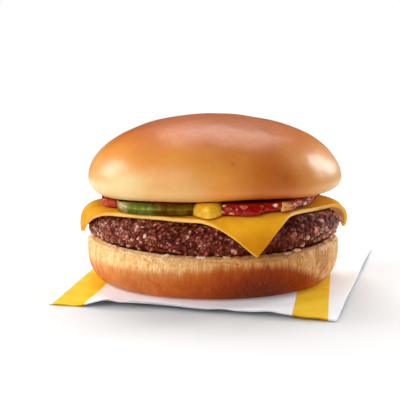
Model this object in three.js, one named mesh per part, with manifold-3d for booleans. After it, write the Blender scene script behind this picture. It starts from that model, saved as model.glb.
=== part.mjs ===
// A cheeseburger on its folded paper wrapper, stacked the way it is eaten:
// wrapper, bottom bun with diced onion, beef patty, draped cheese slice, pickle,
// mustard, ketchup with diced onion, top bun.
// Millimetres, +Z up. The origin is on the bun's axis, at the underside of the wrapper.

import * as THREE from 'three';
import { mergeVertices } from 'three/addons/utils/BufferGeometryUtils.js';
import Module from 'manifold-3d';

// ---- driving dimensions ------------------------------------------------------------

const gap = 0.3; // air between pieces that rest on each other

// of a flat face's radius: a ring of points there keeps its triangles short
const innerRing = 0.55;

const paper = {
  thickness: 0.6, // two layers, folded
  frontLeft: [-58, -49],
  frontRight: [40.5, -71],
  backRight: [71, 55],
  backLeft: [-58, 55],
  flatRadius: 50, // pressed flat under the bun
  liftReach: 16, // over this length the free border rises
  // waves along the front edge: place from 0 at the left to 1, half width, height
  frontWaves: [
    [0.2, 0.07, 2.2], [0.38, 0.13, 3.7], [0.63, 0.16, 2.1], [0.8, 0.07, 1.1], [0.92, 0.05, 0.4],
  ],
  sideWave: [0.5, 0.35, 2.4], // the same along the right side, from the front
  cells: 16,
};

const bottomBun = {
  radius: 49.5,
  offset: -0.5, // baked a little off the stack's axis
  footRadius: 43.3,
  bellyHeight: 12.4, // of the widest ring, over the table
  top: 16.2,
  footRoundness: 1.76, // 2 is an ellipse, less is straighter
  footSteps: 6,
  rimRadius: 48.3, // of the flat cut face
  rimEdge: [1.1, 1.2], // the small bevel round it: out and down
  unevenness: 0.4,
  sides: 64,
};

const patty = {
  radius: 49.3,
  base: bottomBun.top + gap,
  thickness: 11.9,
  footRadius: 43,
  rimRadius: 43,
  crag: 0.55, // depth of the ground meat's crags
  heave: [34, 27, 1.6], // the top is higher here: azimuth, half width in degrees, height
  // the lower edge lifts off the bun here
  lifts: [[60, 24, 3], [-50, 18, 1.5]],
  sides: 100,
};

// the patty's edge from below to above: beyond its radius, over its base, share of crags
const pattyEdge = [
  [-2.7, 2, 0.5],
  [-0.8, 3.6, 1],
  [0.1, 5.3, 1],
  [0.1, 7.1, 1],
  [-1.1, 8.6, 1],
  [-3.1, 10.4, 0.5],
];

const cheese = {
  side: 86.2,
  thickness: 2.2,
  base: patty.base + patty.thickness + gap,
  turn: 16, // degrees that one corner points to the right of the front
  centre: [-0.4, -0.7],
  bendLength: 6, // along the slice, from flat to the flap's first slope
  steepest: 0.95, // sine of the steepest part of the bend that carries a topping
  cells: 20,
};

// where each corner starts to bend, its slope after the bend and at the tip in degrees,
// and the share of its length that is left after it has softened and sunk together
const cheeseCorners = [
  { name: 'front', start: 46.8, slope: 64, tipSlope: 76, share: 1.09 },
  { name: 'right', start: 44, slope: 36, tipSlope: 78, share: 1.07 },
  { name: 'back', start: 46, slope: 56, tipSlope: 84, share: 0.95 },
  { name: 'left', start: 46.4, slope: 72, tipSlope: 108, share: 0.75 },
];

const filling = {
  base: cheese.base + cheese.thickness + gap,
  height: 4.7,
};

const pickle = {
  length: 40,
  width: 31,
  thickness: 3.8,
  roundness: 2.8, // 2 is an ellipse, more is squarer
  beyond: 0.3, // over the edge of the cheese
  along: -2.3, // shift along that edge
  // its rounded rim from below to above: share of the outline, share of the thickness
  rim: [[0.94, 0], [1, 0.2], [1, 0.8], [0.94, 1]],
  sides: 44,
};

const mustard = {
  size: [11.4, 19, 7.9],
  centre: [-1.9, -40.2],
  rise: 1.3, // of its middle over the cheese
};

const ketchup = {
  radius: 43.4,
  // squeezed out at the front right and front left, held back behind the pickle
  bulges: [[14, 12, 7], [34, 7.5, 5.6], [-60, 9, 4.6], [-31, 18, -8], [78, 18, -4]],
  unevenness: 0.9,
  // its edge from below to above: beyond the edge, share of the height
  edge: [[-1.6, 0], [-0.5, 0.12], [0, 0.35], [-0.1, 0.65], [-1.2, 0.93], [-3, 1]],
  sides: 60,
};

const topBun = {
  radius: 49.4,
  base: filling.base + filling.height + gap,
  cutRadius: 45, // of the flat cut face
  // its edge sags at the left and stands up at the front: azimuth, half width, drop
  sags: [[-62, 32, 1.5], [18, 18, -0.7]],
  bellyHeight: 40.6,
  top: 64.5,
  domeWidthPower: 2.12, // 2 is an ellipse, more is fuller
  domeHeightPower: 1.96,
  lowSteps: 4,
  domeSteps: 11,
  unevenness: 0.3,
  evenHeight: 6, // the unevenness grows over this height and this radius
  evenRadius: 20,
  sides: 60,
};

const onion = {
  dice: [2.8, 1.9, 1.3],
  spread: [0.85, 0.3], // smallest share of that size, and how much it varies
  turn: 1, // radians each way, together
  tilt: 0.2,
  inset: 1.3, // of the dice's middle from the rim of the bun
  sink: 0.35, // pressed into the bun
  clearance: 0.25, // over and under the dice that stick in the ketchup
  ketchupInset: 0.5,
  bunAzimuths: [-55, -50, -21, -5, 6, 35, 40, 78, 112, 150, 176, 205, 243, 280],
  ketchupAzimuths: [-62, 8, 12, 27, 33, 50, 95, 140, 185, 230, 268],
};

const colours = {
  paper: 0xf3f1ee,
  bunSide: 0xd8945a,
  bunTop: 0xc9803f,
  beef: 0x5d3429,
  cheese: 0xeaa52a,
  pickle: 0x6f7a2a,
  mustard: 0xe0b32e,
  ketchup: 0x8f1410,
};

// ---- small helpers -----------------------------------------------------------------

const degrees = Math.PI / 180;

// azimuth 0 is the front (-Y) and grows towards the right (+X)
const atAzimuth = (azimuth, radius) => [radius * Math.sin(azimuth), -radius * Math.cos(azimuth)];
const azimuthOf = (x, y) => Math.atan2(x, -y);

const smooth = (t) => {
  const s = THREE.MathUtils.clamp(t, 0, 1);
  return s * s * (3 - 2 * s);
};

// the same random numbers on every run
const seeded = (seed) => {
  let state = seed;
  return () => {
    state = (state * 48271) % 2147483647;
    return state / 2147483647;
  };
};

// an uneven ring: a few waves round the axis, between about -1 and 1
const unevenRing = (seed, waves) => {
  const draw = seeded(seed);
  const parts = waves.map((count) => ({ count, phase: draw() * Math.PI * 2, size: 0.4 + draw() * 0.6 }));
  const total = parts.reduce((sum, part) => sum + part.size, 0);
  return (angle) =>
    parts.reduce((sum, part) => sum + part.size * Math.sin(part.count * angle + part.phase), 0) / total;
};

// one smooth hump along an angle or a length, high 1 in the middle
const hump = (distance, halfWidth) => Math.exp(-((distance / halfWidth) ** 2));

// the same over the azimuth, for [azimuth, half width, height] in degrees and millimetres
const humpAt = (azimuth, [middle, halfWidth, height]) => {
  const apart = THREE.MathUtils.euclideanModulo(azimuth / degrees - middle + 180, 360) - 180;
  return height * hump(apart, halfWidth);
};

const geometryFrom = (points, faces) => {
  const geometry = new THREE.BufferGeometry();
  geometry.setAttribute('position', new THREE.Float32BufferAttribute(points.flat(), 3));
  geometry.setIndex(faces.flat());
  return geometry;
};

// a closed skin over rings of points, from the ring round the low pole to the one round the high pole
const closedSkin = (rings, lowPole, highPole) => {
  const sides = rings[0].length;
  const points = [...rings.flat(), lowPole, highPole];
  const low = points.length - 2;
  const high = points.length - 1;
  const faces = [];
  for (let side = 0; side < sides; side += 1) {
    const next = (side + 1) % sides;
    faces.push([low, next, side]);
    for (let ring = 0; ring < rings.length - 1; ring += 1) {
      const a = ring * sides + side;
      const b = ring * sides + next;
      faces.push([a, b, b + sides], [a, b + sides, a + sides]);
    }
    const last = (rings.length - 1) * sides;
    faces.push([high, last + side, last + next]);
  }
  return geometryFrom(points, faces);
};

// a closed sheet: place(u, v, upper) gives a point of the upper or the lower face
const closedSheet = (cells, place) => {
  const row = cells + 1;
  const lower = row * row;
  const points = [];
  for (const upper of [true, false]) {
    for (let j = 0; j <= cells; j += 1) {
      for (let i = 0; i <= cells; i += 1) {
        points.push(place(i / cells, j / cells, upper));
      }
    }
  }
  const faces = [];
  for (let j = 0; j < cells; j += 1) {
    for (let i = 0; i < cells; i += 1) {
      const a = j * row + i;
      const [b, c, d] = [a + 1, a + 1 + row, a + row];
      faces.push([a, b, c], [a, c, d]);
      faces.push([lower + a, lower + c, lower + b], [lower + a, lower + d, lower + c]);
    }
  }
  const border = [];
  for (let i = 0; i < cells; i += 1) border.push(i);
  for (let j = 0; j < cells; j += 1) border.push(j * row + cells);
  for (let i = cells; i > 0; i -= 1) border.push(cells * row + i);
  for (let j = cells; j > 0; j -= 1) border.push(j * row);
  border.forEach((a, step) => {
    const b = border[(step + 1) % border.length];
    faces.push([a, lower + a, lower + b], [a, lower + b, b]);
  });
  return geometryFrom(points, faces);
};

// a ring of points at one height, or at a height worked out for each point
const ringOf = (sides, radiusAt, heightAt) =>
  Array.from({ length: sides }, (_, side) => {
    const angle = (side / sides) * Math.PI * 2;
    const radius = radiusAt(angle);
    const x = radius * Math.cos(angle);
    const y = radius * Math.sin(angle);
    return [x, y, heightAt(x, y)];
  });

const wasm = await Module();
wasm.setup();

const toSolid = (geometry) => {
  const bare = new THREE.BufferGeometry();
  bare.setAttribute('position', geometry.getAttribute('position').clone());
  if (geometry.index) bare.setIndex(geometry.index.clone());
  const merged = mergeVertices(bare, 1e-5);
  return new wasm.Manifold(new wasm.Mesh({
    numProp: 3,
    vertProperties: new Float32Array(merged.getAttribute('position').array),
    triVerts: new Uint32Array(merged.index.array),
  }));
};

const fromSolid = (solid) => {
  const mesh = solid.getMesh();
  const geometry = new THREE.BufferGeometry();
  geometry.setAttribute('position', new THREE.BufferAttribute(new Float32Array(mesh.vertProperties), 3));
  geometry.setIndex(new THREE.BufferAttribute(new Uint32Array(mesh.triVerts), 1));
  return geometry;
};

// ---- how the slice of cheese hangs over the patty ----------------------------------

// how much higher than its middle the top of the patty, and all that lies on it, is at a point
const heaveAt = (x, y) =>
  humpAt(azimuthOf(x, y), patty.heave) * Math.min(1, Math.hypot(x, y) / patty.rimRadius) ** 2;

const cornerTurn = cheese.turn * degrees;

// the bend at an azimuth, blended between the two nearest corners
const bendAt = (azimuth) => {
  const bend = { start: 0, slope: 0, tipSlope: 0, share: 0 };
  cheeseCorners.forEach((corner, index) => {
    const weight = Math.max(0, Math.cos(azimuth - cornerTurn - index * Math.PI / 2)) ** 2;
    bend.start += weight * corner.start;
    bend.slope += weight * corner.slope * degrees;
    bend.tipSlope += weight * corner.tipSlope * degrees;
    bend.share += weight * corner.share;
  });
  return bend;
};

const flapLength = cheese.side / Math.SQRT2 - cheeseCorners[0].start - cheese.bendLength;

// a point of the slice: flat distance from the axis and azimuth, to its place when draped
const drapedPoint = (flatRadius, azimuth, height) => {
  const { start, slope, tipSlope, share } = bendAt(azimuth);
  const along = share * Math.max(0, flatRadius - start);
  const bendRadius = cheese.bendLength / slope;
  const inBend = Math.min(along, cheese.bendLength);
  let angle = inBend / bendRadius;
  let radius = Math.min(flatRadius, start) + bendRadius * Math.sin(angle);
  let z = cheese.base - bendRadius * (1 - Math.cos(angle));
  if (along > cheese.bendLength) {
    const curlRadius = flapLength / (tipSlope - slope);
    const before = angle;
    angle += (along - cheese.bendLength) / curlRadius;
    radius += curlRadius * (Math.sin(angle) - Math.sin(before));
    z -= curlRadius * (Math.cos(before) - Math.cos(angle));
  }
  radius += height * Math.sin(angle);
  z += height * Math.cos(angle);
  const [x, y] = atAzimuth(azimuth, radius);
  return [x, y, z + heaveAt(x, y)];
};

// how far the upper face of the cheese has dropped at a point on the bend
const cheeseDrop = (x, y) => {
  const { start, slope } = bendAt(azimuthOf(x, y));
  const outerRadius = cheese.bendLength / slope + cheese.thickness;
  const sine = Math.min(cheese.steepest, Math.max(0, Math.hypot(x, y) - start) / outerRadius);
  return outerRadius * (1 - Math.sqrt(1 - sine * sine));
};

const fillingFloor = (x, y) => filling.base + heaveAt(x, y) - cheeseDrop(x, y);

// how much lower than its middle the cut face of the top bun is at a point
const sagAt = (x, y) => {
  const share = Math.min(1, Math.hypot(x, y) / topBun.cutRadius) ** 2;
  return share * topBun.sags.reduce((sum, sag) => sum + humpAt(azimuthOf(x, y), sag), 0);
};

// the underside of the top bun, less the gap, which is the filling's ceiling
const fillingCeiling = (x, y) => {
  const outside = Math.max(0, Math.hypot(x, y) - topBun.cutRadius);
  const reach = Math.min(0.97, outside / (topBun.radius - topBun.cutRadius));
  const depth = topBun.bellyHeight - topBun.base + sagAt(x, y);
  return topBun.bellyHeight - gap - depth * Math.sqrt(1 - reach * reach);
};

// ---- the pieces --------------------------------------------------------------------

const makeWrapper = () => {
  const lift = (x, y, u, v) => {
    const free = smooth((Math.hypot(x, y) - paper.flatRadius) / paper.liftReach);
    const front = (1 - v) ** 3 * paper.frontWaves.reduce(
      (sum, wave) => sum + wave[2] * hump(u - wave[0], wave[1]),
      0,
    );
    const [place, halfWidth, height] = paper.sideWave;
    const side = u ** 4 * height * hump(v - place, halfWidth);
    return free * (front + side);
  };
  return closedSheet(paper.cells, (u, v, upper) => {
    const across = (from, to, t) => [0, 1].map((axis) => from[axis] + (to[axis] - from[axis]) * t);
    const [x, y] = across(
      across(paper.frontLeft, paper.frontRight, u),
      across(paper.backLeft, paper.backRight, u),
      v,
    );
    return [x, y, lift(x, y, u, v) + (upper ? paper.thickness : 0)];
  });
};

// diced onion, turned at random and lying against the rim of what carries it
const makeDice = (azimuths, seed, place) => {
  const draw = seeded(seed);
  return azimuths.map((azimuth) => {
    const [smallest, spread] = onion.spread;
    const [length, width, height] = onion.dice.map((size) => size * (smallest + spread * draw()));
    const dice = new THREE.BoxGeometry(length, width, height);
    const turn = azimuth * degrees + onion.turn * (draw() - 0.5);
    dice.rotateX(onion.tilt * (draw() - 0.5));
    dice.rotateZ(turn);
    const [x, y, z] = place(azimuth * degrees, height, draw);
    dice.translate(x, y, z);
    return toSolid(dice);
  });
};

const makeBottomBun = () => {
  const uneven = unevenRing(11, [2, 3, 5, 8]);
  const base = paper.thickness + gap;
  const profile = [[bottomBun.footRadius * innerRing, base]];
  for (let step = 0; step <= bottomBun.footSteps; step += 1) {
    const angle = (1 - step / bottomBun.footSteps) * Math.PI / 2;
    const width = Math.cos(angle) ** (2 / bottomBun.footRoundness);
    const depth = Math.sin(angle) ** (2 / bottomBun.footRoundness);
    profile.push([
      bottomBun.footRadius + (bottomBun.radius - bottomBun.footRadius) * width,
      bottomBun.bellyHeight - (bottomBun.bellyHeight - base) * depth,
    ]);
  }
  const [out, down] = bottomBun.rimEdge;
  profile.push([bottomBun.rimRadius + out, bottomBun.top - down]);
  profile.push([bottomBun.rimRadius, bottomBun.top]);
  profile.push([bottomBun.rimRadius * innerRing, bottomBun.top]);
  const rings = profile.map(([radius, height]) => ringOf(
    bottomBun.sides,
    (angle) => radius + bottomBun.unevenness * uneven(angle) * smooth(height / bottomBun.bellyHeight),
    () => height,
  ));
  const crumb = closedSkin(rings, [0, 0, base], [0, 0, bottomBun.top]);
  crumb.translate(bottomBun.offset, 0, 0);
  const dice = makeDice(onion.bunAzimuths, 5, (azimuth, height) => {
    const [x, y] = atAzimuth(azimuth, bottomBun.rimRadius - onion.inset);
    return [x + bottomBun.offset, y, bottomBun.top + height / 2 - onion.sink];
  });
  return fromSolid(dice.reduce((bun, bit) => bun.add(bit), toSolid(crumb)));
};

const makePatty = () => {
  const outline = unevenRing(23, [2, 3, 7, 12]);
  const lowerEdge = unevenRing(31, [3, 5, 9]);
  const draw = seeded(77);
  const top = patty.base + patty.thickness;
  const profile = [
    [patty.footRadius * innerRing, patty.base, 0],
    [patty.footRadius, patty.base, 0],
    ...pattyEdge.map(([out, up, share]) => [patty.radius + out, patty.base + up, share]),
    [patty.rimRadius, top, 0],
    [patty.rimRadius * innerRing, top, 0],
  ];
  const heightAt = (x, y, height, share) => {
    const level = (height - patty.base) / patty.thickness;
    const lift = patty.lifts.reduce((sum, place) => sum + humpAt(azimuthOf(x, y), place), 0);
    const crags = share * patty.crag * (lowerEdge(azimuthOf(x, y)) + draw()) / 2;
    return height + crags + level * heaveAt(x, y) + share * (1 - level) * lift;
  };
  const rings = profile.map(([radius, height, share]) => ringOf(
    patty.sides,
    (angle) => radius + share * patty.crag * (outline(angle) + draw() * 2 - 1),
    (x, y) => heightAt(x, y, height, share),
  ));
  return closedSkin(rings, [0, 0, patty.base], [0, 0, top]);
};

const makeCheese = (growth = 0) => closedSheet(cheese.cells, (u, v, upper) => {
  const flat = new THREE.Vector2((u - 0.5) * cheese.side, (v - 0.5) * cheese.side);
  flat.rotateAround(new THREE.Vector2(), cornerTurn - Math.PI / 4);
  const x = flat.x + cheese.centre[0];
  const y = flat.y + cheese.centre[1];
  const height = upper ? cheese.thickness + growth : 0;
  return drapedPoint(Math.hypot(x, y), azimuthOf(x, y), height);
});

// the pickle slice, or the room it takes: grown all round, and upwards by headroom
const makePickle = (growth = 0, headroom = growth) => {
  const edgeAzimuth = cornerTurn - Math.PI / 4;
  const edge = atAzimuth(edgeAzimuth, cheese.side / 2 + pickle.beyond - pickle.width / 2);
  const centre = [
    edge[0] + pickle.along * Math.cos(edgeAzimuth) + cheese.centre[0],
    edge[1] + pickle.along * Math.sin(edgeAzimuth) + cheese.centre[1],
  ];
  const outline = (angle) => {
    const own = angle - edgeAzimuth;
    const c = Math.abs(Math.cos(own) / (pickle.length / 2 + growth)) ** pickle.roundness;
    const s = Math.abs(Math.sin(own) / (pickle.width / 2 + growth)) ** pickle.roundness;
    return (c + s) ** (-1 / pickle.roundness);
  };
  const levels = [[innerRing, 0], ...pickle.rim, [innerRing, 1]];
  const heightAt = (x, y, level) => {
    const place = [x + centre[0], y + centre[1]];
    const height = fillingFloor(...place) + level * pickle.thickness;
    return level < 0.5 ? height - growth : Math.min(height, fillingCeiling(...place)) + headroom;
  };
  const rings = levels.map(([reach, level]) => ringOf(
    pickle.sides,
    (angle) => outline(angle) * reach,
    (x, y) => heightAt(x, y, level),
  ));
  const slice = closedSkin(rings, [0, 0, heightAt(0, 0, 0)], [0, 0, heightAt(0, 0, 1)]);
  slice.translate(centre[0], centre[1], 0);
  return slice;
};

const mustardDollop = (growth = 0) => {
  const blob = new THREE.SphereGeometry(1, 20, 12);
  blob.scale(...mustard.size.map((size) => size / 2 + growth));
  blob.translate(mustard.centre[0], mustard.centre[1], filling.base + mustard.rise);
  const position = blob.getAttribute('position');
  for (let index = 0; index < position.count; index += 1) {
    const x = position.getX(index);
    const y = position.getY(index);
    const floor = fillingFloor(x, y) - growth;
    const ceiling = fillingCeiling(x, y) + growth;
    position.setZ(index, THREE.MathUtils.clamp(position.getZ(index), floor, ceiling));
  }
  return toSolid(blob);
};

const makeMustard = () => fromSolid(mustardDollop().subtract(toSolid(makePickle(gap))));

const makeKetchup = () => {
  const lumps = unevenRing(41, [3, 7, 11, 16]);
  const edgeAt = (azimuth) =>
    ketchup.bulges.reduce((edge, bulge) => edge + humpAt(azimuth, bulge), ketchup.radius)
    + ketchup.unevenness * lumps(azimuth);
  const top = filling.base + filling.height;
  const inside = ketchup.radius * (innerRing - 1);
  const rings = [[inside, 0], ...ketchup.edge, [inside, 1]].map(([out, level]) => ringOf(
    ketchup.sides,
    (angle) => edgeAt(azimuthOf(Math.cos(angle), Math.sin(angle))) + out,
    (x, y) => THREE.MathUtils.lerp(fillingFloor(x, y), Math.min(top, fillingCeiling(x, y)), level),
  ));
  const layer = toSolid(closedSkin(rings, [0, 0, filling.base], [0, 0, top]));
  const dice = makeDice(onion.ketchupAzimuths, 9, (azimuth, height, draw) => {
    const [x, y] = atAzimuth(azimuth, edgeAt(azimuth) - onion.ketchupInset);
    const low = fillingFloor(x, y) + onion.clearance + height / 2;
    const high = Math.min(top, fillingCeiling(x, y)) - onion.clearance - height / 2;
    return [x, y, THREE.MathUtils.lerp(low, Math.max(low, high), draw())];
  });
  return fromSolid(dice
    .reduce((all, bit) => all.add(bit), layer)
    .subtract(toSolid(makePickle(gap, filling.height)))
    .subtract(mustardDollop(gap)));
};

const makeTopBun = () => {
  const uneven = unevenRing(53, [1, 2, 3, 5]);
  const profile = [[topBun.cutRadius * innerRing, topBun.base], [topBun.cutRadius, topBun.base]];
  for (let step = 1; step < topBun.lowSteps; step += 1) {
    const angle = (step / topBun.lowSteps) * Math.PI / 2;
    profile.push([
      topBun.cutRadius + (topBun.radius - topBun.cutRadius) * Math.sin(angle),
      topBun.bellyHeight - (topBun.bellyHeight - topBun.base) * Math.cos(angle),
    ]);
  }
  for (let step = 0; step < topBun.domeSteps; step += 1) {
    const angle = (step / topBun.domeSteps) * Math.PI / 2;
    const width = Math.cos(angle) ** (2 / topBun.domeWidthPower);
    const rise = Math.sin(angle) ** (2 / topBun.domeHeightPower);
    profile.push([
      topBun.radius * width,
      topBun.bellyHeight + (topBun.top - topBun.bellyHeight) * rise,
    ]);
  }
  const swell = (radius, height) => {
    const up = smooth((height - topBun.base) / topBun.evenHeight);
    return topBun.unevenness * up * smooth(radius / topBun.evenRadius);
  };
  const rings = profile.map(([radius, height]) => ringOf(
    topBun.sides,
    (angle) => radius + swell(radius, height) * uneven(angle),
    (x, y) => {
      const share = Math.max(0, topBun.bellyHeight - height) / (topBun.bellyHeight - topBun.base);
      return height - share * sagAt(x, y);
    },
  ));
  return closedSkin(rings, [0, 0, topBun.base], [0, 0, topBun.top]);
};

// ---- the stack ---------------------------------------------------------------------

const piece = (name, geometry, colour, roughness) => {
  const mesh = new THREE.Mesh(
    geometry,
    new THREE.MeshStandardMaterial({ color: colour, roughness, metalness: 0, flatShading: true }),
  );
  mesh.name = name;
  return mesh;
};

const cheeseburger = new THREE.Group();
cheeseburger.name = 'cheeseburger';
cheeseburger.add(
  piece('wrapper', makeWrapper(), colours.paper, 0.7),
  piece('bottom_bun', makeBottomBun(), colours.bunSide, 0.75),
  piece('patty', makePatty(), colours.beef, 0.6),
  piece('cheese', makeCheese(), colours.cheese, 0.4),
  piece('pickle', makePickle(), colours.pickle, 0.3),
  piece('mustard', makeMustard(), colours.mustard, 0.3),
  piece('ketchup', makeKetchup(), colours.ketchup, 0.25),
  piece('top_bun', makeTopBun(), colours.bunTop, 0.45),
);

export default cheeseburger;
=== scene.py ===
from math import ceil, copysign, cos, dist, exp, hypot, pi, radians, sin, sqrt

import bpy
import numpy as np
from mathutils import Matrix, Vector, noise


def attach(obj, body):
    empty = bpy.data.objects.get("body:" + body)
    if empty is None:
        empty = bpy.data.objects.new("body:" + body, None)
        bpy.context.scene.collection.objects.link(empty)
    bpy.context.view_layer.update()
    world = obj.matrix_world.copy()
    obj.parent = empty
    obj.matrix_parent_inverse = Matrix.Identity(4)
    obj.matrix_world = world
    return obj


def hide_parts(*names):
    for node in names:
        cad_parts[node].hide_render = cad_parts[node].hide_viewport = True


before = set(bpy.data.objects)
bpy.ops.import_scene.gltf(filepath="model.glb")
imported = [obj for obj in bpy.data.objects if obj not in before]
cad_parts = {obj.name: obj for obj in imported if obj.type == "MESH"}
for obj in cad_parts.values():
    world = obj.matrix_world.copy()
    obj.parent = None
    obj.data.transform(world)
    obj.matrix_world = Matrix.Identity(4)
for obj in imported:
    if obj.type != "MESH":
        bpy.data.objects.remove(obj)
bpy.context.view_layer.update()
noise.seed_set(3)  # the same granules and dice on every run

# Everything is worked out in millimetres and made in metres.
mm = 0.001
gap = 0.3  # air between pieces that rest on each other


class Sizes(dict):
    # a dictionary that is read as sizes.name
    __getattr__ = dict.__getitem__


# camera and light

view = Sizes(
    place=(0, -400, 88),
    down=8.17,  # degrees
    left=0.81,
    lens=91.98,
    sensor=36,
    sight=(0.01, 20),  # metres, nearest and furthest
)

lamps = {
    # name: place, what it points at, width and height, watts, colour
    "keyLeft": ((-345, -338, 300), (0, 0, 30), (360, 360), 1.34, (1.0, 0.975, 0.945)),
    "softboxBehind": ((25, 320, 495), (0, 0, 50), (410, 310), 1.35, (1.0, 0.96, 0.93)),
    "stripLeft": ((-480, 170, 240), (0, 0, 45), (140, 260), 1.3, (1.0, 0.99, 0.97)),
    "stripRight": ((430, 300, 230), (0, 0, 45), (150, 270), 1.6, (1.0, 0.99, 0.98)),
}


def newObject(name, data):
    made = bpy.data.objects.new(name, data)
    bpy.context.scene.collection.objects.link(made)
    return made


def makeCamera():
    data = bpy.data.cameras.new("camera")
    data.sensor_width = view.sensor
    data.lens = view.lens
    data.clip_start, data.clip_end = view.sight
    camera = newObject("camera", data)
    camera.location = Vector(view.place) * mm
    camera.rotation_euler = (radians(90 - view.down), 0, radians(view.left))
    bpy.context.scene.camera = camera


def makeLamps():
    for name, (place, target, size, watts, colour) in lamps.items():
        data = bpy.data.lights.new(name, "AREA")
        data.shape = "RECTANGLE"
        data.size, data.size_y = size[0] * mm, size[1] * mm
        data.energy = watts
        data.color = colour
        lamp = newObject(name, data)
        lamp.location = Vector(place) * mm
        lamp.rotation_euler = (Vector(target) - Vector(place)).to_track_quat("-Z", "Y").to_euler()


# materials

def tone(*channels):
    # a screen colour, 0 to 255, as the linear colour that a shader takes
    share = np.array(channels) / 255
    return *np.where(share <= 0.04045, share / 12.92, ((share + 0.055) / 1.055) ** 2.4), 1.0


class Look:
    # the nodes of a material or of the world, with a short name for each kind
    def __init__(self, owner, **sockets):
        owner.use_nodes = True
        self.owner = owner
        self.tree = owner.node_tree
        self.coords = self.node("TexCoord").outputs
        self.normal = {}
        self.shade(**sockets)

    def put(self, value, socket):
        if isinstance(value, bpy.types.NodeSocket):
            self.tree.links.new(value, socket)
        else:
            socket.default_value = value

    def node(self, kind, inputs=None, **options):
        made = self.tree.nodes.new("ShaderNode" + kind)
        for option, value in options.items():
            setattr(made, option, value)
        for socket, value in (inputs or {}).items():
            self.put(value, made.inputs[socket])
        return made

    def shade(self, **sockets):
        # values or nodes for the shader's sockets, with _ for a space
        for socket, value in sockets.items():
            self.put(value, self.tree.nodes["Principled BSDF"].inputs[socket.replace("_", " ")])

    def axis(self, name, kind="Object"):
        return self.node("SeparateXYZ", {"Vector": self.coords[kind]}).outputs[name]

    def mottle(self, size, detail=3.0, rough=0.5, stretch=(1, 1, 1)):
        # smooth noise with blotches of the given size in millimetres
        mapped = self.node("Mapping", {"Vector": self.coords["Object"], "Scale": stretch}).outputs["Vector"]
        inputs = {"Vector": mapped, "Scale": 1 / (size * mm), "Detail": detail, "Roughness": rough}
        return self.node("TexNoise", inputs).outputs["Fac"]

    def field(self, name):
        return self.node("Attribute", attribute_name=name).outputs["Fac"]

    def spread(self, value, low, high, toLow=0.0, toHigh=1.0):
        inputs = {"Value": value, "From Min": low, "From Max": high, "To Min": toLow, "To Max": toHigh}
        return self.node("MapRange", inputs, interpolation_type="SMOOTHSTEP").outputs["Result"]

    def calc(self, operation, first, second=0.0):
        return self.node("Math", {0: first, 1: second}, operation=operation).outputs[0]

    def plus(self, first, second):
        return self.calc("ADD", first, second)

    def times(self, first, second):
        return self.calc("MULTIPLY", first, second)

    def swing(self, value, amount):
        # noise up and down from zero
        return self.times(self.calc("SUBTRACT", value, 0.5), amount)

    def blend(self, share, first, second, how="MIX"):
        inputs = {0: share, 6: first, 7: second}
        return self.node("Mix", inputs, data_type="RGBA", blend_type=how).outputs[2]

    def tinted(self, colour, red, green, blue):
        return self.blend(1.0, colour, (red, green, blue, 1.0), "MULTIPLY")

    def ramp(self, value, *stops):
        # each stop: position, red, green, blue
        made = self.node("ValToRGB", {"Fac": value})
        band = made.color_ramp.elements
        while len(band) < len(stops):
            band.new(0.5)
        for element, (position, *colour) in zip(band, stops):
            element.position = position
            element.color = tone(*colour)
        return made.outputs["Color"]

    def bump(self, height, depth, strength):
        # each bump lies on top of those before it
        inputs = {"Height": height, "Distance": depth * mm, "Strength": strength, **self.normal}
        self.normal = {"Normal": self.node("Bump", inputs).outputs["Normal"]}
        self.shade(**self.normal)


def newLook(name, specular, coat=None, scatter=None, **sockets):
    # coat: how much and how rough; scatter: how much, millimetres, reach of each colour
    look = Look(bpy.data.materials.new(name), Specular_IOR_Level=specular, **sockets)
    if coat:
        look.shade(Coat_Weight=coat[0], Coat_Roughness=coat[1])
    if scatter:
        share, depth, reach = scatter
        look.shade(Subsurface_Weight=share, Subsurface_Scale=depth * mm, Subsurface_Radius=reach)
    return look


# shape helpers: azimuth 0 is the front (-Y) and grows towards the right (+X)

def smooth(value):
    share = np.clip(value, 0, 1)
    return share * share * (3 - 2 * share)


def azimuthOf(x, y):
    return np.arctan2(x, -y)


def onCircle(radius, azimuth):
    return radius * np.sin(azimuth), -radius * np.cos(azimuth)


def fullTurn(sides):
    return np.linspace(0, 2 * pi, sides, endpoint=False)


def humps(azimuth, *shapes):
    # smooth humps over the azimuth, added up: middle and half width in degrees, height
    total = 0
    for middle, halfWidth, height in shapes:
        apart = (np.degrees(azimuth) - middle + 180) % 360 - 180
        total = total + height * np.exp(-((apart / halfWidth) ** 2))
    return total


class Draw:
    # the same random numbers as in the solids, on every run
    def __init__(self, seed):
        self.state = seed

    def __call__(self):
        self.state = self.state * 48271 % 2147483647
        return self.state / 2147483647


def unevenRing(seed, waves):
    draw = Draw(seed)
    parts = [(count, draw() * 2 * pi, 0.4 + draw() * 0.6) for count in waves]
    total = sum(size for _, _, size in parts)
    return lambda angle: sum(size * np.sin(count * angle + phase) for count, phase, size in parts) / total


def grain(points, size, octaves=3, shift=0.0, stretch=(1, 1, 1)):
    # fractal noise between about -1 and 1, with bumps of the given size
    scale = Vector(stretch) / size
    move = Vector((shift * 3.7, shift * 1.3, shift * 7.1))
    return np.array([noise.fractal(Vector(p) * scale + move, 0.9, 2.0, octaves) for p in points])


def pebbles(points, size, shift=0.0, warp=0.2):
    # uneven lumps of the given size: height from 0 in the cracks to 1, and a value for each lump
    height, kind = np.empty(len(points)), np.empty(len(points))
    move = Vector((shift, shift * 2, shift * 3))
    for index, p in enumerate(points):
        spot = Vector(p) / size + move
        spot += noise.noise_vector(spot * 1.3) * warp
        spots, seeds = noise.voronoi(spot)
        height[index] = min(1.0, (spots[1] - spots[0]) * 1.5)
        kind[index] = noise.noise(seeds[0] * 7.3)
    return height, kind


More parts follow.
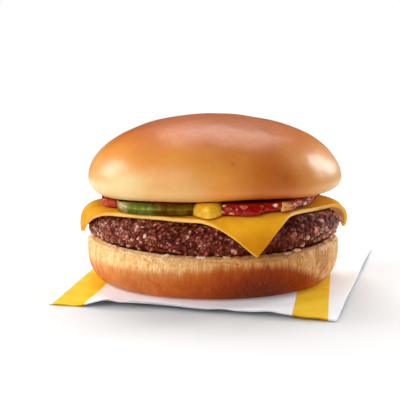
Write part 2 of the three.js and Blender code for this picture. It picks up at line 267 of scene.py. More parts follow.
def finishPiece(name, skin, node, look, fields=None):
    mesh, (points, faces) = bpy.data.meshes.new(name), skin
    mesh.from_pydata([tuple(p) for p in np.asarray(points) * mm], [], faces)
    mesh.update()
    mesh.shade_smooth()
    for label, values in (fields or {}).items():
        mesh.attributes.new(label, "FLOAT", "POINT").data.foreach_set("value", np.asarray(values, np.float32))
    mesh.materials.append(look.owner)
    piece = newObject(name, mesh)
    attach(piece, "root")
    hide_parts(node)
    print(f"{name}: {len(mesh.vertices)} points")
    return piece


def pointsOf(x, y, z):
    return np.stack([x, y, z], -1)


def turnedGrid(profile, sides):
    # radius, azimuth and height of each point of a turned surface, row after row
    radius, height = np.array(profile, float).T
    return np.repeat(radius, sides), np.tile(fullTurn(sides), len(profile)), np.repeat(height, sides)


def outwardOf(points, sides):
    # the way out of a turned surface at each of its points
    rows = points.reshape(-1, sides, 3)
    normal = np.cross(np.roll(rows, -1, 1) - np.roll(rows, 1, 1), np.gradient(rows, axis=0))
    return (normal / (np.linalg.norm(normal, axis=-1, keepdims=True) + 1e-9)).reshape(-1, 3)


def closedSkin(rows, low, high):
    # points and faces of a closed skin over rows of points, from the low pole to the high one
    sides, lowPole = len(rows[0]), len(rows) * len(rows[0])
    last, highPole = lowPole - sides, lowPole + 1
    faces = []
    for side in range(sides):
        after = (side + 1) % sides
        faces.append((lowPole, after, side))
        for row in range(0, last, sides):
            a, b = row + side, row + after
            faces.append((a, b, b + sides, a + sides))
        faces.append((highPole, last + side, last + after))
    return np.concatenate([*rows, [low], [high]]), faces


def ovalArc(belly, pole, powers, angles):
    # part of an oval's outline: 0 degrees is its belly and 90 its pole
    (inner, end), (outer, start) = pole, belly
    wide, tall = 2 / powers[0], 2 / powers[1]
    return [(inner + (outer - inner) * cos(a) ** wide, start + (end - start) * sin(a) ** tall)
            for a in np.radians(angles)]


def along(start, end, step):
    # points after the start up to the end, no further apart than the step
    return np.linspace(start, end, ceil(dist(start, end) / step) + 1)[1:].tolist()


def roundedAlong(profile, step):
    # a smooth curve through a profile, so that its few corners don't show
    path = np.array(profile, float)[:, :2]
    path = [path[0] * 2 - path[1], *path, path[-1] * 2 - path[-2]]
    dense = []
    for a, b, c, d in zip(path, path[1:], path[2:], path[3:]):
        for t in np.linspace(0, 1, ceil(dist(b, c) / step), endpoint=False):
            bend = (c - a) * t + (a * 2 - b * 5 + c * 4 - d) * t ** 2 + (b * 3 - a - c * 3 + d) * t ** 3
            dense.append(tuple(b + bend / 2))
    return [*dense, tuple(path[-2])]


def softBlock(steps, squareness):
    # points and faces of a block with soft edges, from -1 to 1
    seen, faces = {}, []
    ticks = np.linspace(-1, 1, steps)
    for axis in range(3):
        for end in (-1, 1):
            corners = []
            for spot in ([a, b] for a in ticks for b in ticks):
                spot.insert(axis, end)
                corners.append(seen.setdefault(tuple(round(value, 4) for value in spot), len(seen)))
            turn = 1 if (end > 0) == (axis != 1) else -1
            for i in range(steps * steps - steps):
                if (i + 1) % steps:
                    around = (i, i + steps, i + steps + 1, i + 1)
                    faces.append([corners[corner] for corner in around][::turn])
    points = np.array(list(seen), float)
    return points / (np.abs(points) ** squareness).sum(1, keepdims=True) ** (1 / squareness), np.array(faces)


def makeDice(azimuths, seed, size, spot, tilt, tints, steps=9, wobble=0.6, squareness=4.0, onto=None):
    # diced onion: little blocks, each turned its own way; spot gives a dice's place, onto the earlier ones
    draw = Draw(seed)
    block, blockFaces = softBlock(steps, squareness)
    points, faces, shades = onto or ([], [], [])
    for number, azimuth in enumerate(azimuths):
        sides = [side * (0.85 + 0.3 * draw()) for side in size]
        turn = radians(azimuth) + (draw() - 0.5)
        lean = tilt * (draw() - 0.5)
        middle = Vector(spot(radians(azimuth), sides[2], draw))
        turned = Matrix.Rotation(turn, 3, "Z") @ Matrix.Rotation(lean, 3, "X")
        faces += (blockFaces + len(points)).tolist()
        shades += [tints[number % len(tints)]] * len(block)
        for p in map(Vector, block):
            p *= 1 + wobble * noise.noise(p * 0.9 + Vector((number * 3, seed, 0)))
            p += noise.noise_vector(p * 2.3 + Vector((seed, number, 0))) * 0.12
            points.append(middle + turned @ (p * Vector(sides) / 2))
    return points, faces, shades


# wrapper: one thin sheet folded double, with plain printed bands

wrapper = Sizes(
    corners=((-58, -49), (40.5, -71), (-58, 55), (71, 55)),  # front left and right, back left and right
    thickness=0.12,
    layers=(0.08, 0.5),  # heights of the lower and the upper layer
    fold=(0.004, 0.4, 4),  # how far it reaches out, its first angle, its rows
    flatRadius=50,
    liftReach=16,
    # waves along the front edge: place from 0 at the left to 1, half width, height
    frontWaves=(
        (0.2, 0.07, 2.2), (0.38, 0.13, 3.7), (0.63, 0.16, 2.1), (0.8, 0.07, 1.1), (0.92, 0.05, 0.4)),
    crinkle=0.5,  # small folds of that edge
    sideWave=(0.5, 0.35, 2.4),
    crumple=0.28,
    rows=150,
    bandTurn=7.0,  # degrees from the front-back direction
    bandSpacing=84.8,
    bandOffset=50.8,
    bandShare=0.1415,  # of the spacing that is printed
    glow=0.17,  # painted light: the paper glows a little, brighter than its lamps make it
)


def wrapperPlace(u, v):
    frontLeft, frontRight, backLeft, backRight = np.array(wrapper.corners, float)
    front = frontLeft + (frontRight - frontLeft) * u
    back = backLeft + (backRight - backLeft) * u
    return front + (back - front) * v


def wrapperLift(x, y, u, v):
    free = smooth((hypot(x, y) - wrapper.flatRadius) / wrapper.liftReach)
    front = sum(height * exp(-(((u - spot) / half) ** 2)) for spot, half, height in wrapper.frontWaves)
    front += wrapper.crinkle * (1 - v) ** 5 * noise.noise(Vector((u * 16, 3.3, 0)))
    spot, half, height = wrapper.sideWave
    side = height * u ** 4 * exp(-(((v - spot) / half) ** 2))
    return free, free * ((1 - v) ** 3 * front + side)


def wrapperLook():
    look = newLook("waxedPaper", 0.25, Roughness=0.5)
    turn = radians(wrapper.bandTurn)
    across = look.plus(look.times(look.axis("X"), cos(turn)), look.times(look.axis("Y"), -sin(turn)))
    shifted = look.plus(across, wrapper.bandOffset * mm)
    within = look.calc("FRACT", look.calc("DIVIDE", shifted, wrapper.bandSpacing * mm))
    middle = wrapper.bandShare / 2
    away = look.calc("ABSOLUTE", look.calc("SUBTRACT", within, middle))
    printed = look.spread(away, middle - 0.003, middle + 0.003, 1.0, 0.0)
    blotch = look.mottle(9, 4)
    white = look.ramp(blotch, (0.3, 238, 240, 244), (0.7, 247, 249, 253))
    ink = look.ramp(blotch, (0.3, 232, 182, 22), (0.7, 242, 202, 50))
    colour = look.blend(printed, white, ink)
    # painted light: the upper layer of the paper glows in its own colour, with no lamp
    glow = look.spread(look.field("upper"), 0, 1, 0.0, wrapper.glow)
    look.shade(Base_Color=colour, Emission_Color=colour, Emission_Strength=glow)
    look.bump(look.mottle(0.9, 5, 0.6), 0.05, 0.35)
    return look


def makeWrapper():
    rows = wrapper.rows
    lower, upper = wrapper.layers
    out, first, count = wrapper.fold
    columns = [(u, lower) for u in np.linspace(1, 0, rows)]
    columns += [(-out * sin(t), (lower + upper) / 2 - (upper - lower) / 2 * cos(t))
                for t in np.linspace(first, pi - first, count)]
    columns += [(u, upper) for u in np.linspace(0, 1, rows)]
    points, onTop = [], []
    for u, height in columns:
        for v in np.linspace(0, 1, rows):
            onTop.append(float(height == upper))
            x, y = wrapperPlace(u, v)
            free, lift = wrapperLift(x, y, max(u, 0), v)
            spot = Vector((x, y, height * 11))
            creases = abs(noise.noise(spot / 17)) + 0.5 * abs(noise.noise(spot / 8 + Vector((5, 0, 0))))
            crumple = wrapper.crumple * (0.08 + free) * (creases - 0.35)
            points.append((x, y, height + lift + (crumple if height == upper else 0.3 * abs(crumple))))
    starts = [i * rows + j for i in range(len(columns) - 1) for j in range(rows - 1)]
    faces = [(a, a + 1, a + rows + 1, a + rows) for a in starts]
    piece = finishPiece("wrapper", (points, faces), "wrapper", wrapperLook(), {"upper": onTop})
    solidify = piece.modifiers.new("thickness", "SOLIDIFY")
    solidify.thickness = wrapper.thickness * mm
    solidify.offset = 0


# bottom bun: a soft bread crust with a paler cut edge, diced onion on its rim

bottomBun = Sizes(
    radius=49.5,
    offset=-0.5,
    footRadius=43.3,
    bellyHeight=12.4,
    top=16.2,
    footRoundness=1.76,
    footSteps=28,
    rimRadius=48.3,
    rimEdge=(1.1, 1.2),
    base=0.9,
    sides=520,
    uneven=0.4,
    # by azimuth: where the crust gives way to the crumb
    crumbEdge=((-75, 40, -1.8), (20, 26, 2.2), (69, 25, -9.0)),
    crumbHeight=11.6,
    crumbFade=4.4,
    ragged=0.8,
    toasted=((24, 30, 0.95), (70, 20, 0.4), (-8, 20, 0.25), (170, 50, 0.3)),  # darker crumb
    wrinkled=((62, 20, 1.0), (-70, 20, 0.5), (150, 40, 0.4)),
    rimLift=((-76, 36, 1.5), (78, 30, 1.3)),
    torn=0.45,
    swell=0.9,  # how far the crumb rises where the patty rests on it
    darker=((22, 25, 0.42), (-75, 45, -0.2), (68, 18, -0.25), (170, 60, 0.1)),  # how browned, with painted shade at the front right and painted light at the left and right sides
    dice=(2.7, 1.9, 1.3),
    diceAzimuths=(-55, -50, -21, -5, 6, 35, 40, 78, 112, 150, 176, 205, 243, 280),
    diceTints=(0.5, 0.58, 0.42, 0.36, 0.6),
    diceInset=1.6,
    diceSunk=0.45,
)


def bottomBunLook():
    look = newLook("bottomCrust", 0.12, (0.04, 0.3), (0.08, 2, (1.0, 0.45, 0.2)), Roughness=0.55)
    streaks = look.mottle(1.1, 5, 0.65, (1, 1, 0.16))
    threads = look.mottle(0.7, 5, 0.7, (1, 1, 0.12))
    wobble = look.plus(look.swing(look.mottle(11, 4, 0.55), 0.3), look.swing(streaks, 0.3))
    crust = look.ramp(
        look.plus(look.field("browned"), wobble), (0.0, 240, 192, 134), (0.25, 220, 148, 84),
        (0.5, 188, 92, 26), (0.75, 152, 54, 4), (1.0, 96, 28, 0))
    crumb = look.ramp(
        look.plus(look.times(threads, 0.8), look.times(look.mottle(2.4, 4, 0.6), 0.3)),
        (0.34, 212, 136, 72), (0.48, 242, 186, 116), (0.64, 254, 222, 166))
    toasted = look.tinted(crumb, 0.71, 0.52, 0.36)
    crumb = look.blend(look.plus(look.field("toasted"), wobble), crumb, toasted)
    # the edge of the crumb breaks up into upright threads
    torn = look.spread(look.plus(look.field("crumb"), look.swing(threads, 1.1)), -0.05, 1.05)
    bread = look.blend(torn, crust, crumb)
    # painted shade: darker in the folds of the wrinkles and in the pores of the crumb
    look.shade(Base_Color=look.blend(look.field("folded"), bread, look.tinted(bread, 0.74, 0.58, 0.46)))
    look.bump(look.plus(threads, look.times(streaks, 0.6)), 0.16, 0.45)
    return look


def onionLook(name):
    # shade 0 is fresh and white, then pinkish and golden, 1 is stained by the ketchup
    look = newLook(name, 0.3, (0.15, 0.12), (0.5, 2, (1.0, 0.8, 0.6)), Roughness=0.3)
    shade = look.plus(look.field("shade"), look.swing(look.mottle(1.2), 0.5))
    look.shade(Base_Color=look.ramp(
        shade, (0.0, 255, 240, 226), (0.3, 252, 218, 200), (0.5, 240, 188, 150), (0.7, 222, 158, 84),
        (1.0, 176, 40, 24)))
    look.bump(look.mottle(0.5), 0.04, 0.3)
    return look


def makeBottomBun():
    shape = bottomBun
    base, top, rim, sides = shape.base, shape.top, shape.rimRadius, shape.sides
    foot, steps = shape.footRadius, shape.footSteps
    profile = [(foot * share, base) for share in (0.3, 0.6, 0.85)]
    profile += ovalArc((shape.radius, shape.bellyHeight), (foot, base), [shape.footRoundness] * 2,
                       np.linspace(90, 0, steps + 1))
    out, down = shape.rimEdge
    for corner, step in (((rim + out, top - down), 0.3), ((rim, top), 0.3), ((rim - 9, top), 0.45)):
        profile += along(profile[-1], corner, step)
    profile += [(rim * share, top) for share in (0.7, 0.5, 0.25)]
    radius, turn, height = turnedGrid(profile, sides)
    uneven = unevenRing(11, (2, 3, 5, 8))(turn - pi / 2)
    radius = radius + shape.uneven * uneven * smooth(height / shape.bellyHeight)
    spots = pointsOf(*onCircle(radius, turn), height)
    ragged = grain(spots, 4.5, 3, 1, (1, 1, 0.1)) + 0.6 * grain(spots, 1.2, 2, 2, (1, 1, 0.12))
    edge = shape.crumbHeight + humps(turn, *shape.crumbEdge) + shape.ragged * ragged
    crumb = smooth((height - edge) / shape.crumbFade + 0.5)
    threads = grain(spots, 1.2, 3, 3, (1, 1, 0.14))
    pores = smooth((grain(spots, 0.9, 2, 8) - 0.2) / 0.3)
    folds = grain(spots, 1.9, 2, 7, (1, 1, 0.12))
    wrinkled = humps(turn, *shape.wrinkled)
    swell = 0.22 * grain(spots, 9, 2, 5) + 0.04 * grain(spots, 1.4, 2, 6) + 0.3 * wrinkled * folds
    outward = swell * (1 - crumb) + crumb * (0.13 * threads - 0.1 + 0.22 * wrinkled * folds - 0.2 * pores)
    onTop = np.arange(len(spots)) // sides > steps + 8
    outward = np.where(onTop & (height >= top - 0.01), 0, outward) * smooth((height - base) / 1.5)
    upward = np.where(onTop, crumb * 0.3 * grain(spots, 1.6, 3, 4) - 0.1, 0)
    atEdge = smooth((height - 12) / 3) * smooth((radius - 45.5) / 2)
    upward += shape.torn * atEdge * grain(spots, 2.8, 3, 23)
    upward += onTop * shape.swell * np.exp(-(((radius - 46) / 1.4) ** 2))
    upward += smooth((height - 8) / 8) * smooth((radius - 44) / 3) * humps(turn, *shape.rimLift)
    spots = pointsOf(*onCircle(radius + outward, turn), height + upward).reshape(-1, sides, 3)
    skin = closedSkin(spots, (0, 0, base), (0, 0, top))
    skin[0][:, 0] += shape.offset
    # browning, darker towards the bottom, with painted light and shade by azimuth
    browned = 0.53 - 0.22 * smooth((height - 5) / 10) + humps(turn, *shape.darker)
    toasted = humps(turn, *shape.toasted) + 0.5 * (1 - crumb)
    # painted shade for the folds and the pores
    folded = wrinkled * smooth((-0.02 - folds) / 0.3) + 0.7 * crumb * pores
    fields = {
        "folded": np.append(folded, (0, 0)),
        "crumb": np.append(crumb, (0, 1)),
        "browned": np.append(browned, (0.6, 0.5)),
        "toasted": np.append(toasted, (0.5, 0.5)),
    }
    finishPiece("bottom_bun", skin, "bottom_bun", bottomBunLook(), fields)

    def spotOnRim(azimuth, high, draw):
        x, y = onCircle(rim - shape.diceInset, azimuth)
        sunk = shape.diceSunk * draw()
        return x + shape.offset, y, top + high / 2 - sunk + humps(azimuth, *shape.rimLift)

    *skin, shades = makeDice(shape.diceAzimuths, 5, shape.dice, spotOnRim, 0.5, shape.diceTints)
    look = onionLook("paleOnion")
    finishPiece("bun_onion", skin, "bottom_bun", look, {"shade": shades})


# patty: coarse ground beef

patty = Sizes(
    radius=49.3,
    base=16.5,
    thickness=11.9,
    footRadius=43,
    rimRadius=43,
    heave=(34, 27, 1.6),  # where the top is higher, by azimuth
    lifts=((60, 24, 3.0), (-50, 18, 1.5)),  # where the lower edge is
    edge=((-2.0, 1.4, 0.5), (-0.5, 3.3, 1), (0.1, 5.3, 1), (0.1, 7.1, 1), (-1.1, 8.6, 1), (-3.1, 10.4, 0.5)),
    sides=900,
    uneven=(0.55, 0.27),  # outwards and upwards
    granule=1.45,
    granuleDepth=1.0,
    coarser=((66, 40, 0.7), (-20, 40, -0.3)),
    # painted light: lumps paler on the lit left side
    paler=((-60, 30, 0.16), (33, 12, -0.07)),
    # painted highlights: pale grey lumps low on the right
    greyLow=(63, 19, 0.31),
    crag=0.5,
)


def heaveAt(x, y):
    reach = np.minimum(1, np.hypot(x, y) / patty.rimRadius) ** 2
    return humps(azimuthOf(x, y), patty.heave) * reach


def pattyLook():
    look = newLook("groundBeef", 0.15, (0.02, 0.2), IOR=1.3)
    fine = look.mottle(0.6, 5, 0.7)
    kind = look.plus(look.field("kind"), look.swing(fine, 0.5))
    lumps = look.ramp(
        kind, (0.15, 108, 36, 24), (0.38, 146, 66, 46), (0.56, 178, 100, 76), (0.7, 214, 150, 124),
        (0.86, 248, 212, 190))
    colour = look.blend(look.spread(look.mottle(6, 2), 0.38, 0.6), lumps, look.tinted(lumps, 0.92, 0.72, 0.8))
    # painted shade: the cracks between the lumps are darker, by their height
    level = look.plus(look.times(look.field("relief"), 0.85), look.times(fine, 0.35))
    depth = look.ramp(level, (0.2, 84, 52, 44), (0.45, 190, 174, 166), (0.7, 255, 255, 255))
    look.shade(Base_Color=look.blend(1.0, colour, depth, "MULTIPLY"),
               Roughness=look.spread(fine, 0.3, 0.7, 0.32, 0.58))
    look.bump(fine, 0.2, 0.5)
    return look


def makePatty():
    shape = patty
    base, sides, granule = shape.base, shape.sides, shape.granule
    top = base + shape.thickness
    outer = [(shape.footRadius, base, 0.0)]
    outer += [(shape.radius + out, base + up, share) for out, up, share in shape.edge]
    outer += [(shape.rimRadius, top, 0.0)]
    dense = roundedAlong(outer, 0.34)
    shares = np.interp(np.linspace(0, 1, len(dense)), np.linspace(0, 1, len(outer)), [p[2] for p in outer])
    inner = [shape.footRadius * share for share in (0.3, 0.6, 0.8, 0.9, 0.95)]
    profile = [(r, base) for r in inner] + dense + [(r, top) for r in inner[::-1]]
    share = np.repeat(np.pad(shares, len(inner)), sides)
    radius, turn, height = turnedGrid(profile, sides)
    outwards, upwards = shape.uneven
    radius = radius + share * outwards * unevenRing(23, (2, 3, 7, 12))(turn - pi / 2)
    x, y = onCircle(radius, turn)
    level = (height - base) / shape.thickness
    height = height + share * upwards * unevenRing(31, (3, 5, 9))(turn) + level * heaveAt(x, y)
    spots = pointsOf(x, y, height + share * (1 - level) * humps(turn, *shape.lifts))
    lump, kind = pebbles(spots, granule)
    large, largeKind = pebbles(spots, granule * 1.6, 17)
    small, smallKind = pebbles(spots, granule * 0.5, 31)
    coarse = np.clip(0.3 + humps(turn, *shape.coarser), 0, 1)
    lump, kind = lump + (large - lump) * coarse, kind + (largeKind - kind) * coarse
    tops = np.clip((0.75 * lump + 0.25 * small) * (0.85 + 0.6 * kind), 0, 1)
    relief = shape.granuleDepth * (1 + 0.5 * coarse) * (tops - 0.5) + 0.3 * kind
    relief = relief + shape.crag * grain(spots, 5.5, 3, 9) + 0.1 * grain(spots, 1.3, 3, 10)
    # lumps painted paler where light falls on them, more so low on the right
    paler = humps(turn, *shape.paler) + humps(turn, shape.greyLow) * smooth((0.8 - level) / 0.5)
    kind = 0.45 + 0.5 * kind + 0.3 * smallKind + paler
    strength = np.minimum(1, share * 1.4 + 0.12)
    points = spots + outwardOf(spots, sides) * (relief * strength)[:, None]
    points[:, 2] = np.clip(points[:, 2], base - 0.05, top + heaveAt(*points.T[:2]) + 0.1)
    skin = closedSkin(points.reshape(-1, sides, 3), (0, 0, base), (0, 0, top))
    fields = {"relief": np.append(tops, (0.5, 0.5)), "kind": np.append(kind, (0.5, 0.5))}
    finishPiece("patty", skin, "patty", pattyLook(), fields)


# cheese: one soft slice draped over the patty

cheese = Sizes(
    side=86.2,
    thickness=2.2,
    base=28.7,
    turn=16.0,
    centre=(-0.4, -0.7),
    bendLength=6,
    steepest=0.95,
    # each corner: where it starts to bend, slopes after the bend and at the tip, share left
    corners=((46.8, 64, 76, 1.09), (44, 36, 78, 1.07), (46, 56, 84, 0.95), (46.4, 72, 108, 0.75)),
    cells=170,
    edgeRows=9,
    edgeRound=0.85,
    edgeSquareness=3.2,
    edgeThin=0.26,  # share of the thickness that is lost at the edge
    cornerRound=0.013,
    wave=0.22,  # a soft slice isn't quite even
    # painted light and shade of the front corner: its azimuth, half width and amount
    frontCorner=(18, 22, 1.0),
    tipHeights=(21, 30.5),  # from its painted dark tip to its painted pale bend
)


def bendAt(azimuth):
    # the bend at an azimuth, blended between the two nearest corners
    total = [0.0] * 4
    for index, (start, slope, tipSlope, share) in enumerate(cheese.corners):
        weight = np.maximum(0, np.cos(azimuth - radians(cheese.turn) - index * pi / 2)) ** 2
        values = (start, radians(slope), radians(tipSlope), share)
        total = [before + weight * value for before, value in zip(total, values)]
    return total


def drapedPoint(flatRadius, azimuth, height):
    start, slope, tipSlope, share = bendAt(azimuth)
    length = cheese.bendLength
    flapLength = cheese.side / sqrt(2) - cheese.corners[0][0] - length
    reach = share * np.maximum(0, flatRadius - start)
    bendRadius = length / slope
    angle = np.minimum(reach, length) / bendRadius
    radius = np.minimum(flatRadius, start) + bendRadius * np.sin(angle)
    z = cheese.base - bendRadius * (1 - np.cos(angle))
    curlRadius = flapLength / (tipSlope - slope)
    further = angle + np.maximum(0, reach - length) / curlRadius
    radius = radius + curlRadius * (np.sin(further) - np.sin(angle)) + height * np.sin(further)
    z = z - curlRadius * (np.cos(angle) - np.cos(further)) + height * np.cos(further)
    x, y = onCircle(radius, azimuth)
    return pointsOf(x, y, z + heaveAt(x, y))


def cheeseLook():
    look = newLook("meltedCheese", 0.5, (0.02, 0.3), (0.15, 3, (1.0, 0.6, 0.15)), IOR=1.16)
    blotch = look.mottle(8, 4, 0.55)
    face = look.ramp(blotch, (0.3, 210, 143, 14), (0.7, 226, 163, 30))
    # painted light and shade: the front corner is paler where it bends and darker towards its tip, as it
    # hangs into shade
    bent = look.ramp(blotch, (0.3, 240, 162, 24), (0.7, 252, 184, 38))
    low, high = (height * mm for height in cheese.tipHeights)
    hanging = look.spread(look.axis("Z"), low, high, 1.0, 0.0)
    bent = look.blend(hanging, bent, look.tinted(bent, 0.68, 0.53, 0.06))
    face = look.blend(look.field("frontCorner"), face, bent)
    # painted highlight: the cut edge is paler, as where it catches the light
    rim = look.ramp(blotch, (0.3, 246, 186, 100), (0.7, 253, 206, 130))
    look.shade(Base_Color=look.blend(look.field("cut"), face, rim),
               Roughness=look.spread(look.mottle(2.5), 0.35, 0.65, 0.42, 0.56))
    look.bump(look.mottle(3.5), 0.12, 0.35)
    look.bump(look.mottle(0.6), 0.03, 0.3)
    return look


def makeCheese():
    shape = cheese
    cells, thickness, squareness = shape.cells, shape.thickness, shape.edgeSquareness
    row, turn = cells + 1, radians(shape.turn) - pi / 4
    ticks = np.linspace(-1, 1, row)
    ticks = np.sign(ticks) * np.abs(ticks) ** 0.9  # a little closer together near the edges

    def placed(u, v, height, out):
        scale = shape.side / 2 - shape.edgeRound * (1 - out)
        scale = scale * (1 - shape.cornerRound * np.abs(u * v) ** 14)
        x = scale * (u * cos(turn) - v * sin(turn)) + shape.centre[0]
        y = scale * (u * sin(turn) + v * cos(turn)) + shape.centre[1]
        thin = 1 - shape.edgeThin * smooth((np.maximum(np.abs(u), np.abs(v)) - 0.9) / 0.1)
        return drapedPoint(np.hypot(x, y), azimuthOf(x, y), height * thin)

    # the upper face, the lower one, and the bands of the cut edge between them
    u, v = (side.reshape(-1) for side in np.meshgrid(ticks, ticks))
    steps = np.arange(cells)
    border = np.concatenate([steps, steps * row + cells, row * row - 1 - steps, (cells - steps) * row])
    sheets = [placed(u, v, thickness, 0), placed(u, v, 0, 0)]
    angles = np.linspace(0, pi, shape.edgeRows + 2)[1:-1]
    for t in angles:
        # a squarish round: the cut side is nearly flat, its two edges are soft
        size = (abs(cos(t)) ** squareness + abs(sin(t)) ** squareness) ** (-1 / squareness)
        height = thickness / 2 * (1 + cos(t) * size)
        sheets.append(placed(u[border], v[border], height, min(1.0, sin(t) * size)))
    points = np.concatenate(sheets)
    grid = np.arange(row * row).reshape(row, row)
    a, b, c, d = grid[:-1, :-1], grid[:-1, 1:], grid[1:, 1:], grid[1:, :-1]
    quads = [np.stack([a, b, c, d], -1).reshape(-1, 4), np.stack([a, d, c, b], -1).reshape(-1, 4) + row * row]
    loops = [border, *np.arange(2 * row * row, len(points)).reshape(-1, len(border)), border + row * row]
    for one, two in zip(loops, loops[1:]):
        quads.append(np.stack([one, two, np.roll(two, -1), np.roll(one, -1)], -1))
    cut = np.zeros(len(points))
    for loop, t in zip(loops[1:], angles):
        cut[loop] = smooth((t / pi - 0.23) / 0.22)
    cut[loops[-1]] = 0.4
    reach, azimuth = np.hypot(*points.T[:2]), azimuthOf(*points.T[:2])
    # painted shade: the pale cut edge fades to the face's colour on the shaded right
    cut *= 1 - 0.75 * smooth((np.degrees(azimuth) - 56) / 14)
    points[:, 2] += shape.wave * smooth((reach - 40) / 8) * grain(points, 11, 2, 12)
    finishPiece("cheese", (points, np.concatenate(quads).tolist()), "cheese", cheeseLook(),
                {"cut": cut, "frontCorner": humps(azimuth, shape.frontCorner)})


# what lies between the cheese and the top bun

filling = Sizes(base=31.2, height=4.7)

topBun = Sizes(
    radius=49.4,
    base=36.2,
    cutRadius=45,
    sags=((-62, 32, 1.5), (18, 18, -0.7)),
    bellyHeight=40.6,
    bellySteps=14,
    top=64.5,
    domePowers=(2.12, 1.96),  # its roundness across and up
    domeSteps=90,
    sides=480,
    uneven=0.3,
    # how browned the sides are, by azimuth, with painted light and shade in it, and how much paler their
    # lowest part: pale crust near the seam and painted light from the left
    darker=((27, 16, 0.32), (-60, 34, -0.03), (78, 20, -0.1), (150, 50, 0.1)),
    paler=((-52, 34, -0.22), (4, 14, 0.1)),
    floury=((-39, 11, -0.19), 43.8, 2.9),  # a painted broad highlight on the front left: azimuth hump, its height and half height
    # small darker marks: azimuth, height, size, depth of colour
    marks=((8.0, 49.6, 0.8, 0.13), (31, 44, 1.4, 0.05), (140, 50, 1.1, 0.1)),
)


def cheeseDrop(x, y):
    start, slope, _, _ = bendAt(azimuthOf(x, y))
    outerRadius = cheese.bendLength / slope + cheese.thickness
    sine = np.minimum(cheese.steepest, np.maximum(0, np.hypot(x, y) - start) / outerRadius)
    return outerRadius * (1 - np.sqrt(1 - sine * sine))


def fillingFloor(x, y):
    return filling.base + heaveAt(x, y) - cheeseDrop(x, y)


def sagAt(x, y):
    share = np.minimum(1, np.hypot(x, y) / topBun.cutRadius) ** 2
    return share * humps(azimuthOf(x, y), *topBun.sags)


def fillingCeiling(x, y):
    outside = np.maximum(0, np.hypot(x, y) - topBun.cutRadius)
    reach = np.minimum(0.97, outside / (topBun.radius - topBun.cutRadius))
    depth = topBun.bellyHeight - topBun.base + sagAt(x, y)
    return topBun.bellyHeight - gap - depth * np.sqrt(1 - reach * reach)


def pushed(spots, angle, outwards):
    return spots + pointsOf(outwards * np.cos(angle), outwards * np.sin(angle), 0 * angle)


# pickle: one oval slice, skin round its rim and paler flesh at its left end

pickle = Sizes(
    length=40,
    width=31,
    thickness=3.8,
    roundness=2.8,
    beyond=0.3,
    along=-2.3,
    overhang=(0.6, 1.0),  # outwards and down
    sides=420,
)


def pickleLook():
    look = newLook("pickleSlice", 0.2, (0.15, 0.08), (0.3, 3, (0.6, 1.0, 0.3)), Roughness=0.28)
    cloud = look.mottle(3, 4, 0.6)
    skin = look.ramp(cloud, (0.25, 86, 52, 2), (0.45, 116, 80, 4), (0.6, 128, 104, 14), (0.8, 150, 140, 44))
    green = look.ramp(cloud, (0.3, 94, 110, 18), (0.7, 150, 160, 60))
    flesh = look.ramp(cloud, (0.3, 124, 116, 46), (0.7, 186, 180, 112))
    cells = look.node("TexVoronoi", {"Vector": look.coords["Object"], "Scale": 1 / (1.7 * mm)})
    seeds = look.spread(cells.outputs["Distance"], 0.2, 0.36, 1.0, 0.0)
    flesh = look.blend(look.times(seeds, 0.7), flesh, tone(224, 214, 160))
    greener = look.spread(look.plus(look.field("green"), look.swing(cloud, 0.9)), 0.2, 0.8)
    look.shade(Base_Color=look.blend(look.field("flesh"), look.blend(greener, skin, green), flesh))
    look.bump(look.mottle(1.6, 4, 0.6), 0.2, 0.5)
    return look


def pickleCentre():
    edgeTurn = radians(cheese.turn) - pi / 4
    reach = cheese.side / 2 + pickle.beyond - pickle.width / 2
    return (
        reach * sin(edgeTurn) + pickle.along * cos(edgeTurn) + cheese.centre[0],
        -reach * cos(edgeTurn) + pickle.along * sin(edgeTurn) + cheese.centre[1],
        edgeTurn,
    )


def pickleReach(angle, growth=0):
    # from the pickle's middle to its outline, by the angle from its long axis
    power = pickle.roundness
    c = np.abs(np.cos(angle) / (pickle.length / 2 + growth)) ** power
    s = np.abs(np.sin(angle) / (pickle.width / 2 + growth)) ** power
    return (c + s) ** (-1 / power)


def depthInPickle(x, y, growth):
    cx, cy, edgeTurn = pickleCentre()
    return pickleReach(np.arctan2(y - cy, x - cx) - edgeTurn, growth) - np.hypot(x - cx, y - cy)


def outOfPickle(x, y, growth):
    # moves points that lie in the pickle straight out of it
    cx, cy, _ = pickleCentre()
    share = np.maximum(depthInPickle(x, y, growth), 0) / (np.hypot(x - cx, y - cy) + 1e-6)
    return x + (x - cx) * share, y + (y - cy) * share


